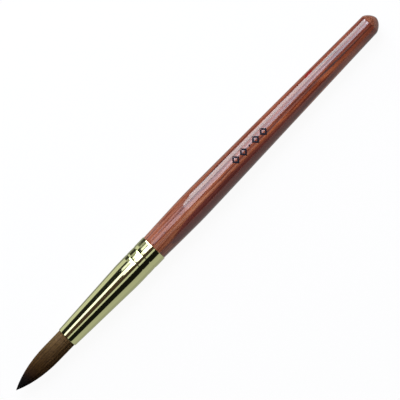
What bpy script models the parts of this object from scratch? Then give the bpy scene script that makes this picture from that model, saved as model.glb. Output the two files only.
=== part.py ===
"""Round acrylic nail brush: hair tuft, metal ferrule and turned wooden handle.

The brush lies along X with its hair towards -X, on the belly of its handle.
The origin is below the middle of its length, on the plane it rests on.
"""

import math

import bmesh
import bpy
from mathutils import Matrix, Vector

MM = 0.001

# Driving dimensions, in millimetres. Stations run along the brush from the hair tip.
OVERALL_LENGTH = 185.0
HAIR_FREE_LENGTH = 26.2
HAIR_RADIUS = 3.75
HAIR_SET_DEPTH = 13.8
HAIR_SPLIT_DEPTH = 0.7
FERRULE_LENGTH = 44.7
FERRULE_CONE_LENGTH = 31.8
FERRULE_WALL = 0.25
MOUTH_RADIUS = 4.07
BARREL_RADIUS = 5.35
FLARE_RADIUS = 5.40
FLARE_LENGTH = 2.4
CRIMP_DEPTH = 0.20
CRIMP_RUN_IN = 1.7
CRIMP_RUN_OUT = 0.5
CRIMP_SETBACKS = (8.5, 4.9)
NECK_RADIUS = 5.16
BELLY_RADIUS = 5.62
SHOULDER_RADIUS = 3.96
BELLY_FRONT = 89.0
BELLY_BACK = 93.0
DOME_LENGTH = 4.0
TAPER_POWER = 1.05
TENON_LENGTH = 21.4
THREAD_RADIUS = 0.18
THREAD_TURNS = 8
THREAD_PITCH = 0.46

# Clearances between neighbouring pieces, in millimetres.
BORE_GAP = 0.14
GLUE_GAP = 0.12
SPLIT_GAP = 0.3

# Stations that follow from the driving dimensions.
MOUTH = HAIR_FREE_LENGTH
CONE_END = MOUTH + FERRULE_CONE_LENGTH
FERRULE_END = MOUTH + FERRULE_LENGTH
CRIMPS = tuple(FERRULE_END - setback for setback in CRIMP_SETBACKS)
TENON_FRONT = FERRULE_END - TENON_LENGTH
NECK = FERRULE_END + 0.3
SHOULDER = OVERALL_LENGTH - DOME_LENGTH
ROOT_END = MOUTH + HAIR_SET_DEPTH

# Faceting. Radii are measured to the flats, and one flat faces straight down.
SIDES = 36
FLAT_TO_CORNER = 1.0 / math.cos(math.pi / SIDES)

MATERIALS = {
    "lacquered_wood": ((0.30, 0.075, 0.035), 0.18, 0.0),
    "gold_metal": ((0.78, 0.70, 0.42), 0.16, 1.0),
    "brown_hair": ((0.10, 0.045, 0.022), 0.45, 0.0),
    "waxed_thread": ((0.75, 0.70, 0.58), 0.7, 0.0),
    "amber_epoxy": ((0.62, 0.42, 0.16), 0.2, 0.0),
    "wood_glue": ((0.85, 0.78, 0.60), 0.4, 0.0),
}


def clear_scene():
    for old in list(bpy.data.objects):
        bpy.data.objects.remove(old, do_unlink=True)


def make_material(name):
    color, roughness, metallic = MATERIALS[name]
    material = bpy.data.materials.new(name)
    material.use_nodes = True
    shader = material.node_tree.nodes["Principled BSDF"]
    shader.inputs["Base Color"].default_value = (*color, 1.0)
    shader.inputs["Roughness"].default_value = roughness
    shader.inputs["Metallic"].default_value = metallic
    return material


def steps(start, end, count):
    """count + 1 evenly spaced stations from start to end."""
    return [start + (end - start) * i / count for i in range(count + 1)]


def place_on_axis(obj):
    """Put a piece that was made along X, from its own tip, on the brush's axis."""
    obj.matrix_world = Matrix.Translation(
        Vector((-OVERALL_LENGTH / 2, 0.0, BELLY_RADIUS)) * MM
    )


def turned(name, outline, material, closed_outline=False):
    """A turned solid from (station, radius) points. A closed outline gives a ring or a tube."""
    mesh_bm = bmesh.new()
    start = Matrix.Rotation(math.pi / SIDES, 3, "X") @ Vector((0.0, 0.0, -1.0))
    ring = [
        mesh_bm.verts.new((Vector((x, 0.0, 0.0)) + start * radius * FLAT_TO_CORNER) * MM)
        for x, radius in outline
    ]
    pairs = list(zip(ring, ring[1:]))
    if closed_outline:
        pairs.append((ring[-1], ring[0]))
    edges = [mesh_bm.edges.new(pair) for pair in pairs]
    bmesh.ops.spin(
        mesh_bm,
        geom=ring + edges,
        cent=(0.0, 0.0, 0.0),
        axis=(1.0, 0.0, 0.0),
        angle=2.0 * math.pi,
        steps=SIDES,
        use_merge=True,
    )
    bmesh.ops.remove_doubles(mesh_bm, verts=mesh_bm.verts, dist=1e-6)
    bmesh.ops.recalc_face_normals(mesh_bm, faces=mesh_bm.faces)
    mesh = bpy.data.meshes.new(name)
    mesh_bm.to_mesh(mesh)
    mesh_bm.free()
    mesh.shade_smooth()
    mesh.set_sharp_from_angle(angle=math.radians(35.0))
    obj = bpy.data.objects.new(name, mesh)
    bpy.context.collection.objects.link(obj)
    mesh.materials.append(make_material(material))
    place_on_axis(obj)
    return obj


def hair_radius(x):
    """The tuft's outline: a pointed ogive that fills out to the ferrule's mouth."""
    fullness = min(x / (0.8 * HAIR_FREE_LENGTH), 1.0)
    return HAIR_RADIUS * (1.0 - (1.0 - fullness) ** 2.5) ** 0.95


def crimp_dip(x):
    """How far the two rolled crimp grooves press the ferrule in at a station.

    A groove falls slowly on its hair side and rises steeply on its handle side.
    """
    dip = 0.0
    for centre in CRIMPS:
        offset = (centre - x) / CRIMP_RUN_IN if x < centre else (x - centre) / CRIMP_RUN_OUT
        if offset < 1.0:
            dip += CRIMP_DEPTH * 0.5 * (1.0 + math.cos(math.pi * offset))
    return dip


def ferrule_radius(x):
    """The ferrule's outer radius: a long cone, a crimped barrel and a small end flare."""
    if x <= CONE_END:
        along = (x - MOUTH) / FERRULE_CONE_LENGTH
        return MOUTH_RADIUS + (BARREL_RADIUS - MOUTH_RADIUS) * along
    flare = max(0.0, 1.0 - (FERRULE_END - x) / FLARE_LENGTH)
    return BARREL_RADIUS + (FLARE_RADIUS - BARREL_RADIUS) * flare - crimp_dip(x)


def bore_radius(x):
    return ferrule_radius(x) - FERRULE_WALL


def ferrule_stations():
    stations = [MOUTH + 0.22] + steps(MOUTH + 3.0, CONE_END, 6)
    for centre in CRIMPS:
        stations += steps(centre - CRIMP_RUN_IN, centre, 5)
        stations += steps(centre, centre + CRIMP_RUN_OUT, 3)[1:]
    return stations + [FERRULE_END - FLARE_LENGTH, FERRULE_END]


def make_ferrule():
    lip = (MOUTH, MOUTH_RADIUS - 0.5 * FERRULE_WALL)
    stations = ferrule_stations()
    outside = [(x, ferrule_radius(x)) for x in stations]
    inside = [(x, bore_radius(x)) for x in reversed(stations)]
    return turned("ferrule", [lip] + outside + inside, "gold_metal", closed_outline=True)


def taper(x, start, end, start_radius, end_radius):
    along = (x - start) / (end - start)
    return start_radius + (end_radius - start_radius) * along ** TAPER_POWER


def dome_radius(x):
    """The blunt rounded butt."""
    along = (x - SHOULDER) / DOME_LENGTH
    return SHOULDER_RADIUS * (1.0 - along ** 1.5) ** 0.6


def make_handle():
    tenon_stations = [TENON_FRONT + 0.9] + steps(TENON_FRONT + 3.0, CONE_END, 2)
    tenon_stations += [x for x in ferrule_stations() if CONE_END < x < FERRULE_END - 0.5]
    outline = [(TENON_FRONT, 0.0), (TENON_FRONT, bore_radius(TENON_FRONT) - 0.9)]
    outline += [(x, bore_radius(x) - BORE_GAP) for x in tenon_stations]
    outline += [
        (x, taper(x, BELLY_FRONT, NECK, BELLY_RADIUS, NECK_RADIUS))
        for x in steps(NECK, BELLY_FRONT, 6)
    ]
    outline += [
        (x, taper(x, BELLY_BACK, SHOULDER, BELLY_RADIUS, SHOULDER_RADIUS))
        for x in steps(BELLY_BACK, SHOULDER, 14)
    ]
    # The dome's rings crowd towards its end, where it curves most.
    dome = [SHOULDER + DOME_LENGTH * math.sin(0.5 * math.pi * i / 9) for i in range(1, 9)]
    outline += [(x, dome_radius(x)) for x in dome]
    outline.append((OVERALL_LENGTH, 0.0))
    return turned("handle", outline, "lacquered_wood")


def make_hair_tuft():
    """The free hair, down to a split just inside the ferrule's mouth."""
    split = MOUTH + HAIR_SPLIT_DEPTH
    set_radius = bore_radius(MOUTH) - GLUE_GAP
    outline = [(0.0, 0.0)]
    outline += [(x, hair_radius(x)) for x in (0.3, 0.9, 1.8, 2.9, 4.2, 5.8, 7.8)]
    outline += [(x, hair_radius(x)) for x in steps(10.0, 0.8 * HAIR_FREE_LENGTH, 5)]
    outline += [(MOUTH - 0.3, HAIR_RADIUS), (MOUTH, set_radius), (split, set_radius)]
    outline.append((split, 0.0))
    return turned("hair_tuft", outline, "brown_hair")


def root_radius():
    """The bound root is a little slimmer than the mouth, which leaves room for its thread."""
    return bore_radius(MOUTH) - 0.4


def make_hair_root():
    front = MOUTH + HAIR_SPLIT_DEPTH + SPLIT_GAP
    outline = [
        (front, 0.0),
        (front, bore_radius(MOUTH) - GLUE_GAP),
        (front + 4.0, root_radius()),
        (ROOT_END, root_radius()),
        (ROOT_END, 0.0),
    ]
    return turned("hair_root", outline, "brown_hair")


def make_root_glue():
    """A plug across the ferrule, with the hair root's end set in its front."""
    front = ROOT_END - 2.4
    floor = ROOT_END + GLUE_GAP
    back = ROOT_END + 2.6
    socket = root_radius() + GLUE_GAP
    outline = [
        (floor, 0.0),
        (floor, socket),
        (front, socket),
        (front, bore_radius(front) - GLUE_GAP),
        (back, bore_radius(back) - GLUE_GAP),
        (back + 0.5, 0.6 * bore_radius(back)),
        (back + 0.3, 0.0),
    ]
    return turned("root_glue", outline, "amber_epoxy")


def make_handle_glue():
    """A ring of glue in the corner between the tenon's front edge and the ferrule."""
    front = TENON_FRONT - 1.8
    back = TENON_FRONT - 0.15
    outline = [
        (front, bore_radius(front) - GLUE_GAP),
        (TENON_FRONT + 0.2, bore_radius(TENON_FRONT + 0.2) - GLUE_GAP),
        (back, bore_radius(back) - 0.9),
        (back, bore_radius(back) - 1.7),
        (front + 0.7, bore_radius(front) - 0.9),
    ]
    return turned("handle_glue", outline, "wood_glue", closed_outline=True)


def make_binding_thread():
    """A close helix of thread round the hair root."""
    points_per_turn = 18
    helix_radius = (root_radius() + GLUE_GAP) * FLAT_TO_CORNER
    helix_radius += THREAD_RADIUS + helix_radius * (1.0 - math.cos(math.pi / points_per_turn))
    start = ROOT_END - 3.4 - THREAD_TURNS * THREAD_PITCH
    count = THREAD_TURNS * points_per_turn + 1
    curve = bpy.data.curves.new("binding_thread", "CURVE")
    curve.dimensions = "3D"
    curve.bevel_depth = THREAD_RADIUS * MM
    curve.bevel_resolution = 1
    curve.use_fill_caps = True
    spline = curve.splines.new("POLY")
    spline.points.add(count - 1)
    for i, point in enumerate(spline.points):
        turn = i / points_per_turn
        angle = 2.0 * math.pi * turn
        position = Vector((
            start + THREAD_PITCH * turn,
            helix_radius * math.cos(angle),
            helix_radius * math.sin(angle),
        ))
        point.co = (*(position * MM), 1.0)
    curve.materials.append(make_material("waxed_thread"))
    obj = bpy.data.objects.new("binding_thread", curve)
    bpy.context.collection.objects.link(obj)
    place_on_axis(obj)
    return obj


def main():
    clear_scene()
    make_hair_tuft()
    make_hair_root()
    make_binding_thread()
    make_root_glue()
    make_ferrule()
    make_handle_glue()
    make_handle()


main()
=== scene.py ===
"""Looks of the round acrylic nail brush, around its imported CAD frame.

Every visible piece is rebuilt finely in the place of its CAD node: the turned and lacquered
wooden handle, the polished ferrule with its two rolled crimps, and the hair tuft.
Stations run along the brush from the hair tip and, like all of its sizes, are in millimetres.
The studio around it is in metres, and its x is measured from the brush's middle.
"""

import math

import bpy
import numpy as np
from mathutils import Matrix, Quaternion, Vector


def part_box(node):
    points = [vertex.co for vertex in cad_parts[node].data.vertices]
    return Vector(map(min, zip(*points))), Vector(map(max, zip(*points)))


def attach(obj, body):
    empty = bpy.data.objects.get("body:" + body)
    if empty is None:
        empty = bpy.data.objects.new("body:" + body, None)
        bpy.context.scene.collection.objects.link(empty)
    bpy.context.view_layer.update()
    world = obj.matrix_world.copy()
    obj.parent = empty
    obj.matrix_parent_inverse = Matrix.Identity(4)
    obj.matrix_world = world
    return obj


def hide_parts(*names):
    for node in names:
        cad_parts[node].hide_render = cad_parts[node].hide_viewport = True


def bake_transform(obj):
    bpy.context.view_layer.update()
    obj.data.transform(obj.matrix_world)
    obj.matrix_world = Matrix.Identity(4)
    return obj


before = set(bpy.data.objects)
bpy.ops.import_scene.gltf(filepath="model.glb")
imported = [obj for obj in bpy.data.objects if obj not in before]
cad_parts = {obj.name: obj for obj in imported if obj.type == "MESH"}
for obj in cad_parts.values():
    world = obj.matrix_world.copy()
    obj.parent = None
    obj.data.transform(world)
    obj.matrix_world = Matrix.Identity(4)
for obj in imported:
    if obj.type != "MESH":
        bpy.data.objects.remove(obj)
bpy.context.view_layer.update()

MM = 0.001


# Places from the frame -------------------------------------------------------------------

tuft_low, tuft_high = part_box("hair_tuft")
ferrule_low, ferrule_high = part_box("ferrule")
handle_low, handle_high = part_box("handle")

TIP_X = tuft_low.x
AXIS_Z = (handle_low.z + handle_high.z) / 2
MOUTH = (ferrule_low.x - TIP_X) / MM
FERRULE_END = (ferrule_high.x - TIP_X) / MM
BUTT = (handle_high.x - TIP_X) / MM
TENON_FRONT = (handle_low.x - TIP_X) / MM
BELLY_RADIUS = (handle_high.z - handle_low.z) / 2 / MM

# Driving dimensions ----------------------------------------------------------------------

HAIR_RADIUS = 3.75
HAIR_SET_IN = 0.55
HAIR_FULL_SHARE = 0.8
HAIR_POINT_POWER = 2.5
HAIR_SIDE_POWER = 0.95

WALL = 0.25
MOUTH_RADIUS = 4.07
BARREL_RADIUS = 5.34
CONE_END = MOUTH + 30.8
CONE_BLEND = 0.6
LIP_RUN = 0.7
LIP_DROP = 0.06
RIM_RUN = 1.2
RIM_STEP = 0.035
# Each crimp: the station of its bottom, and the run in front of it where the wall falls.
CRIMPS = ((FERRULE_END - 8.5, 1.7), (FERRULE_END - 4.9, 2.9))
CRIMP_TILT = 0.013
CRIMP_TURN = 0.026
CRIMP_SEAM = 0.05
CRIMP_SEAM_RUN = 0.45
CRIMP_RUN_OUT = 0.5

BORE_GAP = 0.14
NECK = FERRULE_END + 0.3
NECK_RADIUS = 5.16
BELLY_FRONT = 89.0
BELLY_BACK = 93.0
SHOULDER = BUTT - 3.65
SHOULDER_SLANT = 0.35
SLANT_RUN = 3.0
SHOULDER_RADIUS = 3.96
TAPER_POWER = 1.05
NECK_POWER = 1.16
DOME_POWER = 1.5
DOME_ROUNDING = 0.6


def steps(start, end, count):
    """count + 1 evenly spaced stations from start to end."""
    return [start + (end - start) * i / count for i in range(count + 1)]


def to_world(station, y, z):
    return (TIP_X + station * MM, y * MM, AXIS_Z + z * MM)


# Outlines --------------------------------------------------------------------------------

def hair_radius(x):
    """The tuft swells from its point and is full for the last fifth of its free length."""
    fullness = np.clip(np.asarray(x, float) / (HAIR_FULL_SHARE * MOUTH), 0.0, 1.0)
    return HAIR_RADIUS * (1.0 - (1.0 - fullness) ** HAIR_POINT_POWER) ** HAIR_SIDE_POWER


def crimp_dip(x):
    """Each rolled groove starts at a corner and falls ever faster, with a seam at its bottom."""
    dip = 0.0
    for bottom, run_in in CRIMPS:
        into = min(max(x - (bottom - run_in), 0.0), run_in)
        seam = max(0.0, 1.0 - max(bottom - x, 0.0) / CRIMP_SEAM_RUN) ** 2
        out = max(0.0, 1.0 - max(x - bottom, 0.0) / CRIMP_RUN_OUT) ** 2
        slope = CRIMP_TILT * into + 0.5 * CRIMP_TURN / run_in * into ** 2
        dip += (slope + CRIMP_SEAM * seam) * out
    return dip


def ferrule_radius(x):
    """A cone that rounds off into a barrel, less the crimps. The rim behind them is wider."""
    past_cone = math.log1p(math.exp((CONE_END - x) / CONE_BLEND)) * CONE_BLEND
    slope = (BARREL_RADIUS - MOUTH_RADIUS) / (CONE_END - MOUTH)
    rim = min(max((x - CRIMPS[-1][0]) / RIM_RUN, 0.0), 1.0)
    from_end = min(x - MOUTH, FERRULE_END - x)
    lip = LIP_DROP * max(0.0, 1.0 - from_end / LIP_RUN) ** 2
    return BARREL_RADIUS - slope * past_cone - lip + RIM_STEP * rim ** 2 - crimp_dip(x)


def taper(x, start, end, start_radius, end_radius, power):
    along = (x - start) / (end - start)
    return start_radius + (end_radius - start_radius) * along ** power


def dome_radius(x):
    along = (x - SHOULDER) / (BUTT - SHOULDER)
    return SHOULDER_RADIUS * max(0.0, 1.0 - along ** DOME_POWER) ** DOME_ROUNDING


def handle_radius(x):
    if x < BELLY_FRONT:
        return taper(x, BELLY_FRONT, NECK, BELLY_RADIUS, NECK_RADIUS, NECK_POWER)
    if x <= BELLY_BACK:
        return BELLY_RADIUS
    if x <= SHOULDER:
        return taper(x, BELLY_BACK, SHOULDER, BELLY_RADIUS, SHOULDER_RADIUS, TAPER_POWER)
    return dome_radius(x)


# Meshes ----------------------------------------------------------------------------------

def new_object(name, vertices, faces, material):
    mesh = bpy.data.meshes.new(name)
    mesh.from_pydata(vertices, [], faces)
    mesh.validate()
    mesh.shade_smooth()
    mesh.materials.append(material)
    obj = bpy.data.objects.new(name, mesh)
    bpy.context.scene.collection.objects.link(obj)
    return obj


def turned(name, outline, sides, material, closed_outline=False, relief=None):
    """Turns (station, radius) points about the brush's axis.

    A point of radius 0 becomes a pole. relief(station, angle) adds to the radius.
    """
    vertices, rings = [], []
    for station, radius in outline:
        if radius == 0.0:
            rings.append([len(vertices)] * sides)
            vertices.append(to_world(station, 0.0, 0.0))
            continue
        rings.append(list(range(len(vertices), len(vertices) + sides)))
        for i in range(sides):
            angle = 2.0 * math.pi * i / sides
            r = radius + (relief(station, angle) if relief else 0.0)
            vertices.append(to_world(station, r * math.sin(angle), r * math.cos(angle)))
    pairs = list(zip(rings, rings[1:]))
    if closed_outline:
        pairs.append((rings[-1], rings[0]))
    faces = []
    for low, high in pairs:
        for i in range(sides):
            j = (i + 1) % sides
            corners = [low[i], low[j], high[j], high[i]]
            faces.append(tuple(dict.fromkeys(corners)))
    return new_object(name, vertices, faces, material)


# Material helpers ------------------------------------------------------------------------

class Nodes:
    """A short way to write a node tree: each call adds a node and links its inputs."""

    def __init__(self, name):
        self.material = bpy.data.materials.new(name)
        self.material.use_nodes = True
        self.tree = self.material.node_tree
        self.shader = self.tree.nodes["Principled BSDF"]

    def link(self, value, socket):
        if isinstance(value, bpy.types.NodeSocket):
            self.tree.links.new(value, socket)
        else:
            socket.default_value = value

    def add(self, kind, inputs=None, **settings):
        node = self.tree.nodes.new("ShaderNode" + kind)
        for key, value in settings.items():
            setattr(node, key, value)
        for key, value in (inputs or {}).items():
            self.link(value, node.inputs[key])
        return node

    def place(self, scale=(1.0, 1.0, 1.0), offset=(0.0, 0.0, 0.0)):
        """Object coordinates from the brush's axis, in millimetres, stretched and shifted."""
        coordinates = self.add("TexCoord").outputs["Object"]
        mapping = self.add("Mapping", {"Vector": coordinates})
        mapping.inputs["Scale"].default_value = [s / MM for s in scale]
        to_axis = AXIS_Z / MM * scale[2]
        mapping.inputs["Location"].default_value = (offset[0], offset[1], offset[2] - to_axis)
        return mapping.outputs["Vector"]

    def noise(self, vector, detail, roughness=0.5, distortion=0.0):
        inputs = {
            "Vector": vector,
            "Scale": 1.0,
            "Detail": detail,
            "Roughness": roughness,
            "Distortion": distortion,
        }
        return self.add("TexNoise", inputs).outputs["Fac"]

    def noise_1d(self, w, detail, roughness):
        inputs = {"W": w, "Scale": 1.0, "Detail": detail, "Roughness": roughness}
        return self.add("TexNoise", inputs, noise_dimensions="1D").outputs["Fac"]

    def math(self, operation, a, b=0.0, c=0.0):
        return self.add("Math", {0: a, 1: b, 2: c}, operation=operation).outputs[0]

    def spread(self, value, low, high, to_low=0.0, to_high=1.0):
        """A smooth step from to_low to to_high as value goes from low to high."""
        inputs = {
            "Value": value,
            "From Min": low,
            "From Max": high,
            "To Min": to_low,
            "To Max": to_high,
        }
        node = self.add("MapRange", inputs, interpolation_type="SMOOTHSTEP")
        return node.outputs["Result"]

    def band(self, value, start, full, fade, end):
        """1 while value is between full and fade, falling smoothly to 0 at start and end."""
        rise = self.spread(value, start, full)
        return self.math("MULTIPLY", rise, self.spread(value, fade, end, 1.0, 0.0))

    def mix(self, share, a, b, blend_type="MIX"):
        node = self.add("Mix", data_type="RGBA", blend_type=blend_type)
        self.link(share, node.inputs["Factor"])
        self.link(a, node.inputs["A"])
        self.link(b, node.inputs["B"])
        return node.outputs["Result"]

    def tint(self, share, color, factor):
        """color, multiplied by factor where share is 1."""
        return self.mix(share, color, self.mix(1.0, color, rgb(*factor), "MULTIPLY"))

    def ramp(self, value, stops):
        node = self.add("ValToRGB", {"Fac": value})
        elements = node.color_ramp.elements
        while len(elements) < len(stops):
            elements.new(0.5)
        for element, (position, color) in zip(elements, stops):
            element.position = position
            element.color = color
        return node.outputs["Color"]

    def bump(self, height, distance, strength=1.0):
        inputs = {"Height": height, "Distance": distance * MM, "Strength": strength}
        return self.add("Bump", inputs).outputs["Normal"]

    def surface(self, values):
        """Links or sets sockets of the shader by name, and returns the finished material."""
        for name, value in values.items():
            self.link(value, self.shader.inputs[name])
        return self.material


def rgb(red, green, blue):
    return (red, green, blue, 1.0)


# Wood ------------------------------------------------------------------------------------

MIDDLE = -TIP_X / MM
LAYER_SLANT_Y = 0.7
LAYER_SLANT_Z = -0.714
HEART_CLIMB = 0.006
LATE_DEPTH = -3.25
KNOT_STATION = 153.6
KNOT_PLACE = (KNOT_STATION - MIDDLE, 3.3, 3.0)
KNOT_STRETCH = (0.55, 1.4, 0.3)


def plain_wood(n, x, layer, streaks, fibres):
    """Broad bands of colour, then finer ones, then streaks that run out along the grain."""
    broad = n.noise_1d(n.math("MULTIPLY_ADD", layer, 0.62, 3.4), 1.0, 0.5)
    fine = n.noise_1d(n.math("MULTIPLY_ADD", layer, 2.3, 11.0), 3.0, 0.6)
    tone = n.math("MULTIPLY_ADD", broad, 0.50, n.math("MULTIPLY", fine, 0.35))
    tone = n.math("MULTIPLY_ADD", streaks, 0.65, tone)
    tone = n.math("MULTIPLY_ADD", fibres, 0.20, tone)
    color = n.ramp(n.spread(tone, 0.56, 1.14), [
        (0.00, rgb(0.055, 0.009, 0.007)),
        (0.22, rgb(0.120, 0.021, 0.011)),
        (0.50, rgb(0.262, 0.066, 0.029)),
        (1.00, rgb(0.430, 0.148, 0.068)),
    ])
    # The wood turns redder and darker towards the butt.
    return n.tint(n.spread(x, -10.0, 55.0), color, (0.80, 0.62, 0.62))


def add_heart(n, color, x, depth, wave, streaks):
    """Heartwood: the deepest layers are dark, and rise into the surface behind the neck."""
    rise = n.spread(x, -20.0, -6.0, -5.28, -4.77)
    heart_depth = n.math("MULTIPLY_ADD", x, HEART_CLIMB, n.math("ADD", rise, wave))
    over_heart = n.math("SUBTRACT", depth, heart_depth)
    # Pale wood lies right above it, most of all in the front half.
    pale = n.band(over_heart, 0.0, 0.25, 1.2, 2.0)
    pale = n.math("MULTIPLY", pale, n.spread(x, 15.0, 50.0, 0.85, 0.2))
    pale = n.math("MULTIPLY", pale, n.spread(x, -16.0, 0.0, 0.1, 1.0))
    color = n.tint(pale, color, (1.40, 1.50, 1.35))
    dark = n.ramp(n.spread(streaks, 0.3, 0.7), [
        (0.0, rgb(0.135, 0.029, 0.020)),
        (1.0, rgb(0.215, 0.050, 0.034)),
    ])
    color = n.mix(n.spread(over_heart, -0.12, 0.05, 1.0, 0.0), color, dark)
    # Behind the mark a narrow layer over the heart is paler still, and the upper ones a little.
    narrow = n.band(over_heart, 0.05, 0.25, 0.40, 0.75)
    upper = n.spread(over_heart, 1.30, 1.60, 0.0, 0.22)
    reach = n.band(x, 26.0, 42.0, 62.0, 80.0)
    share = n.math("MULTIPLY", n.math("ADD", narrow, upper), reach)
    return n.tint(share, color, (1.90, 2.15, 1.75))


def add_late_layer(n, color, x, depth, wave):
    """One more dark layer surfaces towards the butt."""
    from_layer = n.math("SUBTRACT", n.math("MULTIPLY_ADD", wave, 1.2, depth), LATE_DEPTH)
    layer = n.spread(n.math("ABSOLUTE", from_layer), 0.08, 0.26, 0.85, 0.0)
    share = n.math("MULTIPLY", layer, n.spread(x, 32.0, 56.0))
    return n.tint(share, color, (0.30, 0.27, 0.33))


def add_knot(n, color, streaks):
    """A small red knot on the +Y side."""
    shift = [-stretch * place for stretch, place in zip(KNOT_STRETCH, KNOT_PLACE)]
    from_knot = n.add("VectorMath", {0: n.place(KNOT_STRETCH, shift)}, operation="LENGTH")
    edge = n.math("MULTIPLY_ADD", streaks, 0.9, from_knot.outputs["Value"])
    return n.mix(n.spread(edge, 1.25, 1.60, 1.0, 0.0), color, rgb(0.240, 0.008, 0.004))


def add_end_grain(n, color, x):
    """Where the dome cuts the fibres off, the wood is paler and speckled."""
    speckle = n.noise(n.place((1.5, 5.0, 5.0), (2.0, 5.0, 1.0)), 2.0, 0.6)
    end_grain = n.ramp(speckle, [
        (0.35, rgb(0.140, 0.038, 0.018)),
        (0.65, rgb(0.600, 0.235, 0.120)),
    ])
    shoulder = SHOULDER - MIDDLE
    return n.mix(n.spread(x, shoulder + 0.1, shoulder + 0.7, 0.0, 0.55), color, end_grain)


def wood_material():
    """Lacquered red-brown wood. Its growth layers lie parallel to the brush and slant across it.

    x, y and z are in millimetres from the brush's middle and axis, and depth is across the layers.
    """
    n = Nodes("lacquered_wood")
    axes = n.add("SeparateXYZ", {"Vector": n.place()})
    x, y, z = (axes.outputs[name] for name in "XYZ")
    depth = n.math("MULTIPLY_ADD", y, LAYER_SLANT_Y, n.math("MULTIPLY", z, LAYER_SLANT_Z))
    wander = n.noise(n.place((0.022, 0.09, 0.09)), 3.0, 0.55)
    layer = n.math("ADD", depth, n.spread(wander, 0.2, 0.8, -1.3, 1.3))
    wave = n.spread(wander, 0.2, 0.8, -0.10, 0.10)
    streaks = n.noise(n.place((0.035, 1.5, 1.5), (3.0, 1.0, 7.0)), 4.0, 0.6, 0.3)
    fibres = n.noise(n.place((0.12, 8.0, 8.0)), 3.0, 0.6)
    color = plain_wood(n, x, layer, streaks, fibres)
    color = add_heart(n, color, x, depth, wave, streaks)
    color = add_late_layer(n, color, x, depth, wave)
    # Painted light: the neck is made paler on its +Y side, where the key light falls on it.
    neck = n.math("MULTIPLY", n.spread(x, -12.0, 3.0, 0.9, 0.0), n.spread(y, -1.0, 2.0))
    color = n.tint(neck, color, (1.22, 1.26, 1.22))
    color = add_knot(n, color, streaks)
    color = add_end_grain(n, color, x)
    pores = n.noise(n.place((0.35, 7.0, 7.0), (11.0, 4.0, 2.0)), 1.0, 0.4)
    pore_mask = n.spread(pores, 0.62, 0.70)
    color = n.mix(n.math("MULTIPLY", pore_mask, 0.6), color, rgb(0.020, 0.006, 0.005))
    flow = n.noise(n.place((0.03, 1.4, 1.4)), 2.0)
    return n.surface({
        "Base Color": color,
        "Roughness": 0.5,
        "Specular IOR Level": 0.1,
        "Normal": n.bump(n.math("SUBTRACT", fibres, pore_mask), 0.02, 0.6),
        "Coat Weight": 1.0,
        "Coat Roughness": 0.06,
        "Coat IOR": 1.5,
        "Coat Normal": n.bump(flow, 0.018, 0.5),
    })


# Other materials -------------------------------------------------------------------------

def gold_material():
    """Polished pale gold with faint lines from drawing the tube."""
    n = Nodes("gold_metal")
    cloud = n.noise(n.place((0.25, 0.25, 0.25)), 3.0)
    lines = n.noise(n.place((0.03, 6.0, 6.0)), 2.0)
    return n.surface({
        "Base Color": n.mix(cloud, rgb(0.62, 0.63, 0.31), rgb(0.58, 0.61, 0.31)),
        "Metallic": 1.0,
        "Roughness": n.spread(lines, 0.3, 0.7, 0.055, 0.085),
        "Normal": n.bump(lines, 0.0003, 0.4),
    })


def hair_material():
    """Brown hair that darkens to black at its tip. Each hair has its own tone."""
    n = Nodes("brown_hair")
    along = n.add("Attribute", attribute_name="along").outputs["Fac"]
    tone = n.add("Attribute", attribute_name="tone").outputs["Fac"]
    color = n.ramp(along, [
        (0.00, rgb(0.009, 0.0080, 0.0072)),
        (0.16, rgb(0.010, 0.0080, 0.0065)),
        (0.23, rgb(0.018, 0.0095, 0.0055)),
        (0.32, rgb(0.048, 0.0215, 0.0075)),
        (0.46, rgb(0.079, 0.0385, 0.0098)),
        (0.60, rgb(0.094, 0.0480, 0.0145)),
        (0.86, rgb(0.122, 0.0675, 0.0215)),
        (1.00, rgb(0.132, 0.0740, 0.0265)),
    ])
    wave = n.noise(n.place((0.25, 2.5, 2.5)), 3.0)
    light = n.math("MULTIPLY_ADD", tone, 1.2, n.math("MULTIPLY_ADD", wave, 0.6, 0.1))
    grey = n.add("CombineColor", {0: light, 1: light, 2: light}).outputs["Color"]
    return n.surface({
        "Base Color": n.mix(1.0, color, grey, "MULTIPLY"),
        "Roughness": 0.5,
        "Specular IOR Level": 0.10,
    })


def mottled_material(name, stretch, low, high, roughness, bump_depth, bump_strength=1.0):
    """Two colours that run into each other, with relief from the same pattern."""
    n = Nodes(name)
    pattern = n.noise(n.place(stretch), 3.0)
    return n.surface({
        "Base Color": n.mix(pattern, low, high),
        "Roughness": roughness,
        "Normal": n.bump(pattern, bump_depth, bump_strength),
    })


def root_material():
    """Hair inside the ferrule: streaks along the brush."""
    dark, light = rgb(0.05, 0.028, 0.014), rgb(0.20, 0.12, 0.06)
    return mottled_material("hair_root", (0.05, 6.0, 6.0), dark, light, 0.5, 0.05)


def thread_material():
    """Waxed thread, spotted at the scale of its twist."""
    dark, light = rgb(0.60, 0.54, 0.42), rgb(0.82, 0.78, 0.66)
    return mottled_material("waxed_thread", (4.0, 4.0, 4.0), dark, light, 0.7, 0.05)


def glue_material(name, light, dark, roughness):
    """Set glue with a cloudy body and a slightly uneven surface."""
    return mottled_material(name, (0.6, 0.6, 0.6), light, dark, roughness, 0.1, 0.4)


def ink_material():
    """Dark bluish ink, a little worn."""
    n = Nodes("dark_ink")
    wear = n.noise(n.place((3.0, 3.0, 3.0)), 3.0)
    return n.surface({
        "Base Color": n.mix(wear, rgb(0.006, 0.006, 0.012), rgb(0.020, 0.018, 0.030)),
        "Roughness": 0.6,
        "Specular IOR Level": 0.15,
    })


# Handle ----------------------------------------------------------------------------------

HANDLE_SIDES = 160
TENON_CHAMFER = 0.9
TENON_EVEN_FROM = 2.0
TENON_SET_BACK = 0.5
DOME_RINGS = 30
OUT_OF_ROUND = 0.008


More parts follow.
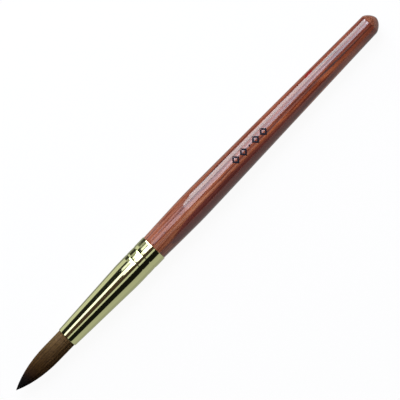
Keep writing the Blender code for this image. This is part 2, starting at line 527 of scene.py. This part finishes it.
def handle_outline():
    """The tenon inside the ferrule, then the neck, belly, taper and dome."""
    chamfer_radius = ferrule_radius(TENON_FRONT) - WALL - TENON_CHAMFER
    tenon = [TENON_FRONT + TENON_CHAMFER]
    tenon += steps(TENON_FRONT + TENON_EVEN_FROM, FERRULE_END - TENON_SET_BACK, 60)
    outline = [(TENON_FRONT, 0.0), (TENON_FRONT, chamfer_radius)]
    outline += [(x, ferrule_radius(x) - WALL - BORE_GAP) for x in tenon]
    body = steps(NECK, BELLY_FRONT, 30) + steps(BELLY_FRONT, BELLY_BACK, 8)[1:]
    body += steps(BELLY_BACK, SHOULDER, 130)[1:]
    for i in range(1, DOME_RINGS):
        quarter_turn = 0.5 * math.pi * i / DOME_RINGS
        body.append(SHOULDER + (BUTT - SHOULDER) * math.sin(quarter_turn))
    outline += [(x, handle_radius(x)) for x in body]
    outline.append((BUTT, 0.0))
    return outline


def turners_hand(x, angle):
    """The lacquered surface is a few microns out of round, always inward of its outline."""
    if x < NECK:
        return 0.0
    slow = math.sin(2.0 * angle + 0.05 * x) + 0.5 * math.sin(3.0 * angle - 0.11 * x)
    return OUT_OF_ROUND * (slow - 1.5)


def slant_shoulder(handle):
    """The shoulder of the dome is turned a little out of square: it lies further back at +Y."""
    for vertex in handle.data.vertices:
        station = (vertex.co.x - TIP_X) / MM
        before = min(max(1.0 - (SHOULDER - station) / SLANT_RUN, 0.0), 1.0)
        behind = min(max((BUTT - station) / (BUTT - SHOULDER), 0.0), 1.0)
        side = vertex.co.y / MM / SHOULDER_RADIUS
        vertex.co.x += SHOULDER_SLANT * MM * side * before ** 2 * behind


def make_handle():
    outline = handle_outline()
    material = wood_material()
    handle = turned("lacquered_handle", outline, HANDLE_SIDES, material, relief=turners_hand)
    slant_shoulder(handle)
    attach(handle, "brush")
    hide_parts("handle")


# Ferrule ---------------------------------------------------------------------------------

FERRULE_SIDES = 160


def rounded_end(x, radius, toward):
    """A half-round lip that joins the outside to the bore; toward is -1 for the mouth."""
    half = 0.5 * WALL
    angles = [math.pi * i / 8 for i in range(1, 8)]
    return [(x + toward * half * math.sin(a), radius - half * (1 - math.cos(a))) for a in angles]


def ferrule_stations(start, end):
    """Close together at the lips and at each crimp, and further apart on the cone."""
    closer_from = CONE_END - 9.0
    stations = steps(start, start + LIP_RUN, 6) + steps(start + LIP_RUN, closer_from, 30)
    stations += steps(closer_from, CRIMPS[0][0] - CRIMPS[0][1], 40)
    for bottom, run_in in CRIMPS:
        stations += steps(max(bottom - run_in, stations[-1]), bottom, 24)
        stations += steps(bottom, bottom + CRIMP_RUN_OUT, 10)
    stations += steps(stations[-1], end - LIP_RUN, 16) + steps(end - LIP_RUN, end, 8)
    return sorted(set(round(x, 5) for x in stations))


def make_ferrule():
    start, end = MOUTH + 0.5 * WALL, FERRULE_END - 0.5 * WALL
    stations = ferrule_stations(start, end)
    outline = [(x, ferrule_radius(x)) for x in stations]
    outline += rounded_end(end, ferrule_radius(end), 1.0)
    outline += [(x, ferrule_radius(x) - WALL) for x in reversed(stations[::2])]
    outline += reversed(rounded_end(start, ferrule_radius(start), -1.0))
    material = gold_material()
    ferrule = turned("polished_ferrule", outline, FERRULE_SIDES, material, closed_outline=True)
    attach(ferrule, "brush")
    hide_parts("ferrule")


# Hair ------------------------------------------------------------------------------------

CORE_SHARE = 0.955
CORE_SIDES = 288
CORE_TONE = 0.35
CORE_RIDGES = (29, 53, 71, 97)
RIDGE_HEIGHT = 0.012
STRAND_POINTS = 10
STRAND_SIDES = 3
STRAND_SWAY = 0.035
ENDS_WITHIN = 9.0
LOCKS = 23.0


def set_attribute(obj, name, values):
    layer = obj.data.attributes.new(name, "FLOAT", "POINT")
    layer.data.foreach_set("value", np.asarray(values, np.float32))


def stations_of(obj):
    x = np.array([v.co.x for v in obj.data.vertices])
    return (x - TIP_X) / MM


def bend_at_mouth(obj):
    """Bakes the hair's placement into its mesh."""
    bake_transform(obj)


def core_outline():
    """Below the outer layer, from just behind the point to just inside the ferrule."""
    end = MOUTH + HAIR_SET_IN
    stations = [0.8, 1.1, 1.5, 2.0, 2.6, 3.3] + steps(4.0, end, 36)
    outline = [(0.5, 0.0)]
    outline += [(x, CORE_SHARE * float(hair_radius(x))) for x in stations]
    outline.append((end, 0.0))
    return outline


def make_hair_core(material):
    """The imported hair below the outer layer, with fine ridges along it."""
    rng = np.random.default_rng(4)
    phases = rng.uniform(0.0, 2.0 * math.pi, len(CORE_RIDGES))

    def relief(x, angle):
        ridge = sum(math.sin(c * angle + p) for c, p in zip(CORE_RIDGES, phases))
        return RIDGE_HEIGHT * ridge * float(hair_radius(x)) / HAIR_RADIUS

    core = turned("hair_core", core_outline(), CORE_SIDES, material, relief=relief)
    set_attribute(core, "along", stations_of(core) / MOUTH)
    set_attribute(core, "tone", np.full(len(core.data.vertices), CORE_TONE))
    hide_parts("hair_tuft")
    bend_at_mouth(core)


def strand_points(count, shares, width, rng):
    """Corner points, ordered by hair, place along it and side, and the tone of each hair."""
    angle = 2.0 * math.pi * (np.arange(count) + rng.uniform(-0.5, 0.5, count)) / count
    share = rng.uniform(*shares, count)
    ends = ENDS_WITHIN * rng.random(count) ** 3
    sway = rng.uniform(0.0, STRAND_SWAY, count)
    sway_phase = rng.uniform(0.0, 2.0 * math.pi, count)
    sway_rate = rng.uniform(0.15, 0.45, count)
    lock = 0.5 + 0.5 * np.sin(angle * LOCKS + 1.7 * np.sin(angle * 5.0))
    tone = np.clip(0.55 * lock + rng.uniform(-0.1, 0.65, count), 0.0, 1.0)

    along = np.linspace(0.0, 1.0, STRAND_POINTS) ** 0.8
    x = (MOUTH + HAIR_SET_IN) + (ends[:, None] - MOUTH - HAIR_SET_IN) * along
    radius = share[:, None] * hair_radius(x)
    radius = np.minimum(radius, ferrule_radius(MOUTH) - WALL - width)
    theta = angle[:, None] + sway[:, None] * np.sin(sway_rate[:, None] * x + sway_phase[:, None])
    thickness = 0.5 * width * (1.0 - 0.8 * along ** 3)
    side = 2.0 * math.pi * np.arange(STRAND_SIDES) / STRAND_SIDES
    out = radius[:, :, None] + thickness[None, :, None] * np.cos(side)
    aside = thickness[None, :, None] * np.sin(side) * np.ones_like(out)
    sin, cos = np.sin(theta)[:, :, None], np.cos(theta)[:, :, None]
    y = out * sin + aside * cos
    z = out * cos - aside * sin
    stations = np.broadcast_to(x[:, :, None], y.shape)
    points = np.stack([TIP_X + stations * MM, y * MM, AXIS_Z + z * MM], -1)
    return points.reshape(-1, 3), tone


def strand_faces(count):
    """Closed tubes of STRAND_POINTS rings each."""
    faces = []
    for s in range(count):
        base = s * STRAND_POINTS * STRAND_SIDES
        for k in range(STRAND_POINTS - 1):
            low = base + k * STRAND_SIDES
            high = low + STRAND_SIDES
            for i in range(STRAND_SIDES):
                j = (i + 1) % STRAND_SIDES
                faces.append((low + i, low + j, high + j, high + i))
        last = base + (STRAND_POINTS - 1) * STRAND_SIDES
        faces.append(tuple(base + i for i in reversed(range(STRAND_SIDES))))
        faces.append(tuple(last + i for i in range(STRAND_SIDES)))
    return faces


def make_strands(name, count, shares, width, seed, material):
    """Fine tapered hairs. Each runs from inside the ferrule towards the tip, along the outline."""
    points, tone = strand_points(count, shares, width, np.random.default_rng(seed))
    strands = new_object(name, points.tolist(), strand_faces(count), material)
    set_attribute(strands, "along", stations_of(strands) / MOUTH)
    set_attribute(strands, "tone", np.repeat(tone, STRAND_POINTS * STRAND_SIDES))
    bend_at_mouth(strands)


def make_hair():
    material = hair_material()
    make_hair_core(material)
    make_strands("hair_under_layer", 1100, (0.945, 0.985), 0.085, 11, material)
    make_strands("hair_outer_layer", 900, (0.975, 1.0), 0.075, 12, material)


# Printed mark ----------------------------------------------------------------------------

MARK_CENTRE = 120.6
MARK_OFFSETS = (-7.0, -3.1, 3.1, 7.0)
MARK_HALF_LENGTH = 1.65
MARK_HALF_HEIGHT = 1.85
MARK_STROKE_SHARE = 0.54
MARK_DOT_SHARE = 0.26
MARK_DOT_HOLE = 0.01
MARK_SIDE_DEG = 9.0
MARK_POINTS = 48
INK_TOP = 0.012
INK_BOTTOM = -0.05


def lozenge_loop(centre, share):
    """Points (station, arc height) around a lozenge that is `share` of the full size."""
    corners = ((1, 0), (0, 1), (-1, 0), (0, -1), (1, 0))
    loop = []
    for i in range(MARK_POINTS):
        quarter, part = divmod(4.0 * i / MARK_POINTS, 1.0)
        a, b = corners[int(quarter)], corners[int(quarter) + 1]
        along = a[0] + (b[0] - a[0]) * part
        up = a[1] + (b[1] - a[1]) * part
        loop.append((centre + along * share * MARK_HALF_LENGTH, up * share * MARK_HALF_HEIGHT))
    return loop


def on_handle(x, arc, lift):
    """A point by its arc height beside the mark's middle line, lifted off the lacquer."""
    r = handle_radius(x)
    angle = math.radians(MARK_SIDE_DEG) + arc / r
    return to_world(x, (r + lift) * math.sin(angle), (r + lift) * math.cos(angle))


def make_mark():
    """A printed row of four open lozenges around a dot: a thin film of ink on the lacquer."""
    shapes = [(MARK_CENTRE + offset, 1.0, 1.0 - MARK_STROKE_SHARE) for offset in MARK_OFFSETS]
    shapes.append((MARK_CENTRE, MARK_DOT_SHARE, MARK_DOT_HOLE))
    vertices, faces = [], []
    for centre, outer, inner in shapes:
        base = len(vertices)
        rings = ((outer, INK_TOP), (inner, INK_TOP), (inner, INK_BOTTOM), (outer, INK_BOTTOM))
        for share, lift in rings:
            vertices += [on_handle(x, arc, lift) for x, arc in lozenge_loop(centre, share)]
        for ring in range(len(rings)):
            low = base + ring * MARK_POINTS
            high = base + (ring + 1) % len(rings) * MARK_POINTS
            for i in range(MARK_POINTS):
                j = (i + 1) % MARK_POINTS
                faces.append((low + i, low + j, high + j, high + i))
    mark = new_object("printed_mark", vertices, faces, ink_material())
    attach(mark, "brush")


# Hidden pieces ---------------------------------------------------------------------------

def dress_hidden_pieces():
    epoxy_colors = (rgb(0.70, 0.48, 0.18), rgb(0.45, 0.26, 0.08))
    wood_glue_colors = (rgb(0.88, 0.82, 0.64), rgb(0.70, 0.60, 0.40))
    looks = {
        "hair_root": root_material(),
        "binding_thread": thread_material(),
        "root_glue": glue_material("amber_epoxy", *epoxy_colors, 0.2),
        "handle_glue": glue_material("wood_glue", *wood_glue_colors, 0.45),
    }
    for name, material in looks.items():
        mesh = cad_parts[name].data
        mesh.materials.clear()
        mesh.materials.append(material)


# Studio ----------------------------------------------------------------------------------

LIGHT_DISTANCE = 0.7


def softbox(name, from_deg, to_deg, x_from, x_to, radiance, color=(1.0, 1.0, 1.0), lean=0.0):
    """An even panel beside the brush, from x_from to x_to along it.

    Degrees count from straight up towards +Y. lean, in degrees too, turns the panel in its own
    plane, so that its front edge slants back towards its lower side.
    """
    middle = math.radians((from_deg + to_deg) / 2)
    width = 2.0 * LIGHT_DISTANCE * math.tan(math.radians(to_deg - from_deg) / 2)
    length = x_to - x_from
    data = bpy.data.lights.new(name, "AREA")
    data.shape = "RECTANGLE"
    data.size = length
    data.size_y = width
    data.energy = radiance * math.pi * length * width
    data.color = color
    light = bpy.data.objects.new(name, data)
    bpy.context.scene.collection.objects.link(light)
    away = Vector((0.0, math.sin(middle), math.cos(middle)))
    light.location = Vector(((x_from + x_to) / 2, 0.0, AXIS_Z)) + away * LIGHT_DISTANCE
    facing = Quaternion((1.0, 0.0, 0.0), -middle)
    light.rotation_mode = "QUATERNION"
    light.rotation_quaternion = facing @ Quaternion((0.0, 0.0, 1.0), math.radians(-lean))
    light.visible_camera = False


def make_lights():
    """Panels over the +Y side from front to back, one faint strip at -Y, and wings low at +Y."""
    lilac = (0.98, 0.97, 1.20)
    cool = (0.92, 0.97, 1.16)
    pale_green = (0.86, 1.03, 1.10)
    softbox("key_front_high", 27.0, 44.0, -0.36, -0.058, 2.3, lilac)
    softbox("key_front_low", 18.0, 27.0, -0.099, -0.058, 2.3, lilac, lean=-5.0)
    softbox("key_middle", 18.0, 44.5, -0.058, -0.020, 3.3, lilac)
    softbox("key_back", 16.0, 51.5, -0.020, 0.45, 5.2, cool)
    softbox("key_core", 26.0, 33.0, 0.045, 0.45, 3.6, cool)
    softbox("fill_strip", -19.0, -5.5, -0.36, 0.16, 0.82)
    softbox("ferrule_panel", 50.0, 68.0, -0.078, -0.008, 1.6, lilac, lean=2.0)
    softbox("side_panel", 53.5, 89.0, -0.008, 0.21, 8.0, pale_green, lean=4.5)
    softbox("end_high", 60.0, 86.0, 0.168, 0.24, 6.0, cool)
    softbox("end_low", 20.0, 44.0, 0.168, 0.24, 5.0, cool)
    softbox("front_wing", 88.0, 127.0, -0.36, -0.0435, 0.84)
    softbox("rear_wing", 71.0, 93.0, -0.0435, -0.008, 0.42)


# The room around the brush as (degrees from straight up towards +Y, radiance).
DIM_BROWN = (0.083, 0.050, 0.040)
ROOM = (
    (-180.0, 0.48), (-120.0, 0.50), (-100.0, 0.62), (-64.0, 0.62), (-61.0, 0.010),
    (-24.0, 0.010), (-7.0, 0.010), (0.0, DIM_BROWN), (24.0, DIM_BROWN), (46.0, 0.015),
    (78.0, 0.015), (88.0, 0.22), (97.0, 0.10), (103.0, 0.03), (119.0, 0.04),
    (130.0, 0.26), (140.0, 0.42), (180.0, 0.48),
)


def make_world():
    """A dark room with pale walls and floor, the same all along the brush."""
    world = bpy.data.worlds.new("studio")
    bpy.context.scene.world = world
    world.use_nodes = True
    tree = world.node_tree
    direction = tree.nodes.new("ShaderNodeTexCoord").outputs["Generated"]
    axes = tree.nodes.new("ShaderNodeSeparateXYZ")
    tree.links.new(direction, axes.inputs[0])
    turn = tree.nodes.new("ShaderNodeMath")
    turn.operation = "ARCTAN2"
    tree.links.new(axes.outputs["Y"], turn.inputs[0])
    tree.links.new(axes.outputs["Z"], turn.inputs[1])
    share = tree.nodes.new("ShaderNodeMapRange")
    share.inputs["From Min"].default_value = -math.pi
    share.inputs["From Max"].default_value = math.pi
    tree.links.new(turn.outputs[0], share.inputs["Value"])
    ramp = tree.nodes.new("ShaderNodeValToRGB")
    tree.links.new(share.outputs["Result"], ramp.inputs["Fac"])
    elements = ramp.color_ramp.elements
    while len(elements) < len(ROOM):
        elements.new(0.5)
    for element, (degrees, light) in zip(elements, ROOM):
        element.position = (degrees + 180.0) / 360.0
        element.color = rgb(*light) if isinstance(light, tuple) else rgb(light, light, light)
    # Seen directly, past the edge of the floor, the room is as pale as the floor.
    seen = tree.nodes.new("ShaderNodeMix")
    seen.data_type = "RGBA"
    path = tree.nodes.new("ShaderNodeLightPath")
    tree.links.new(path.outputs["Is Camera Ray"], seen.inputs["Factor"])
    tree.links.new(ramp.outputs["Color"], seen.inputs["A"])
    seen.inputs["B"].default_value = rgb(0.98, 0.98, 0.98)
    background = tree.nodes["Background"]
    tree.links.new(seen.outputs["Result"], background.inputs["Color"])


def make_floor():
    """A pale table that glows a little, so that shadows on it stay faint."""
    material = Nodes("pale_floor").surface({
        "Base Color": rgb(0.06, 0.06, 0.06),
        "Roughness": 0.9,
        "Specular IOR Level": 0.0,
        "Emission Color": rgb(1.0, 1.0, 1.0),
        "Emission Strength": 0.94,
    })
    half = 3.0
    corners = [(-half, -half, 0.0), (half, -half, 0.0), (half, half, 0.0), (-half, half, 0.0)]
    floor = new_object("floor", corners, [(0, 1, 2, 3)], material)
    floor.visible_glossy = False
    floor.visible_diffuse = False


CAMERA_LENS = 300.0
CAMERA_SENSOR = 36.0
CAMERA_X = 0.00197
CAMERA_TURN_DEG = -45.97
PICTURE_WIDTH = 0.14278


def make_camera():
    """Straight above the brush, turned so that it runs from lower left to upper right.

    PICTURE_WIDTH is how much the picture shows at the height of the brush's axis.
    """
    data = bpy.data.cameras.new("camera")
    data.lens = CAMERA_LENS
    data.sensor_width = CAMERA_SENSOR
    data.clip_end = 20.0
    camera = bpy.data.objects.new("camera", data)
    bpy.context.scene.collection.objects.link(camera)
    camera.location = (CAMERA_X, 0.0, AXIS_Z + PICTURE_WIDTH * CAMERA_LENS / CAMERA_SENSOR)
    camera.rotation_euler = (0.0, 0.0, math.radians(CAMERA_TURN_DEG))
    bpy.context.scene.camera = camera
    bpy.context.scene.view_settings.view_transform = "Standard"


make_camera()
make_handle()
make_ferrule()
make_hair()
make_mark()
dress_hidden_pieces()
make_lights()
make_world()
make_floor()
